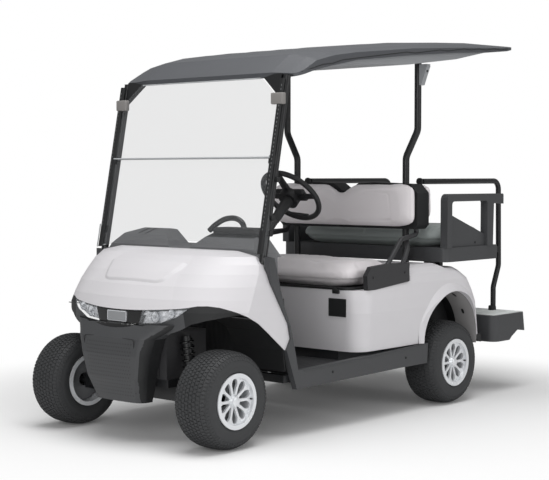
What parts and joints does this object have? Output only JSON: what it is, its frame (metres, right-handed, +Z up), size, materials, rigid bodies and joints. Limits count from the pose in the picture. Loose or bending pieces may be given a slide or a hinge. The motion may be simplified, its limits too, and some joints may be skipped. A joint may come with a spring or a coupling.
{
  "type": "golf cart",
  "caption": "Low open electric cart with a forward bench, a rear-facing bench with a footplate, a folding windshield and a canopy roof on bent struts.",
  "frame": {"origin": "on the ground under the middle of the vehicle's bounding box", "axes": "+X is the vehicle's left, -Y is forward, +Z is up"},
  "size_m": [1.2, 2.6617, 1.921],
  "materials": {
    "tyre_rubber": "matt black rubber",
    "wheel_alloy": "bright silver lacquer",
    "black_steel": "satin black powder coat",
    "motor_casing": "cast, painted",
    "body_white": "gloss pearl white",
    "charcoal_trim": "grained charcoal moulding",
    "black_plastic": "matt black moulding",
    "roof_plastic": "grained dark grey",
    "liner_grey": "light grey liner",
    "clear_lens": "clear lens",
    "blank_badge": "plain satin plate",
    "windshield_sheet": "faintly tinted clear sheet",
    "seat_vinyl": "light warm grey vinyl",
    "rear_vinyl": "dark grey-green vinyl",
    "floor_mat": "ribbed mat",
    "battery_case": "moulded cases",
    "red_lens": "red lens",
    "wheel_grip": "soft black moulding"
  },
  "bodies": {
    "vehicle": {"arch_liners": "black_plastic", "armrests": "charcoal_trim", "backrest_shell": "black_plastic", "backrests": "seat_vinyl", "badge_plate": "blank_badge", "battery_pack": "battery_case", "chassis_frame": "black_steel", "dash": "charcoal_trim", "drive_motor": "motor_casing", "floor": "floor_mat", "footplate": "charcoal_trim", "front_axle_beam": "black_steel", "front_bumper": "charcoal_trim", "front_cover": "black_plastic", "front_cowl": "body_white", "grab_rails": "black_steel", "headlights": "clear_lens", "hip_restraints": "charcoal_trim", "pedals": "black_steel", "rear_axle": "black_steel", "rear_body": "body_white", "rear_cushion": "rear_vinyl", "rear_frame": "black_steel", "rear_seat_base": "charcoal_trim", "roof": "roof_plastic", "roof_brackets": "black_steel", "roof_liner": "liner_grey", "roof_struts": "black_steel", "sills": "charcoal_trim", "socket_cover": "black_plastic", "steering_column": "black_steel", "suspension": "black_steel", "tail_lamps": "red_lens", "windshield": "windshield_sheet", "windshield_clips": "black_plastic"},
    "knuckle_left": {"knuckle_left": "black_steel"},
    "knuckle_right": {"knuckle_right": "black_steel"},
    "wheel_front_left": {"tyre_front_left": "tyre_rubber", "rim_front_left": "wheel_alloy"},
    "wheel_front_right": {"tyre_front_right": "tyre_rubber", "rim_front_right": "wheel_alloy"},
    "wheel_rear_left": {"tyre_rear_left": "tyre_rubber", "rim_rear_left": "wheel_alloy"},
    "wheel_rear_right": {"tyre_rear_right": "tyre_rubber", "rim_rear_right": "wheel_alloy"},
    "steering_wheel": {"steering_wheel": "wheel_grip"},
    "tie_rod": {"tie_rod": "black_steel"},
    "seat_lid": {"front_cushion": "seat_vinyl", "seat_pan": "black_plastic"}
  },
  "joints": [
    {"name": "steer_left", "type": "hinge", "parent": "vehicle", "child": "knuckle_left", "pos_m": [0.385, -1.085, 0.218], "axis": [0, 0, 1], "range_deg": [-30, 30]},
    {"name": "steer_right", "type": "hinge", "parent": "vehicle", "child": "knuckle_right", "pos_m": [-0.385, -1.085, 0.218], "axis": [0, 0, 1], "range_deg": [-30, 30]},
    {"name": "steering_wheel_turn", "type": "hinge", "parent": "vehicle", "child": "steering_wheel", "pos_m": [0.28, -0.379, 1.1], "axis": [0, 0.7193, 0.6947], "range_deg": [-360, 360]},
    {"name": "tie_rod_shift", "type": "slide", "parent": "vehicle", "child": "tie_rod", "axis": [1, 0, 0], "range_m": [-0.07, 0.07]},
    {"name": "spin_front_left", "type": "hinge", "parent": "knuckle_left", "child": "wheel_front_left", "pos_m": [0.4825, -1.085, 0.218], "axis": [1, 0, 0], "continuous": true},
    {"name": "spin_front_right", "type": "hinge", "parent": "knuckle_right", "child": "wheel_front_right", "pos_m": [-0.4825, -1.085, 0.218], "axis": [1, 0, 0], "continuous": true},
    {"name": "spin_rear_left", "type": "hinge", "parent": "vehicle", "child": "wheel_rear_left", "pos_m": [0.5055, 0.585, 0.218], "axis": [1, 0, 0], "continuous": true},
    {"name": "spin_rear_right", "type": "hinge", "parent": "vehicle", "child": "wheel_rear_right", "pos_m": [-0.5055, 0.585, 0.218], "axis": [1, 0, 0], "continuous": true},
    {"name": "seat_lid_hinge", "type": "hinge", "parent": "vehicle", "child": "seat_lid", "pos_m": [0, 0.217, 0.745], "axis": [-1, 0, 0], "range_deg": [0, 45]}
  ],
  "couplings": [
    {"joint": "steer_right", "follows": "steer_left", "ratio": 1},
    {"joint": "steering_wheel_turn", "follows": "steer_left", "ratio": 12},
    {"joint": "tie_rod_shift", "follows": "steer_left", "m_per_rad": -0.11}
  ]
}
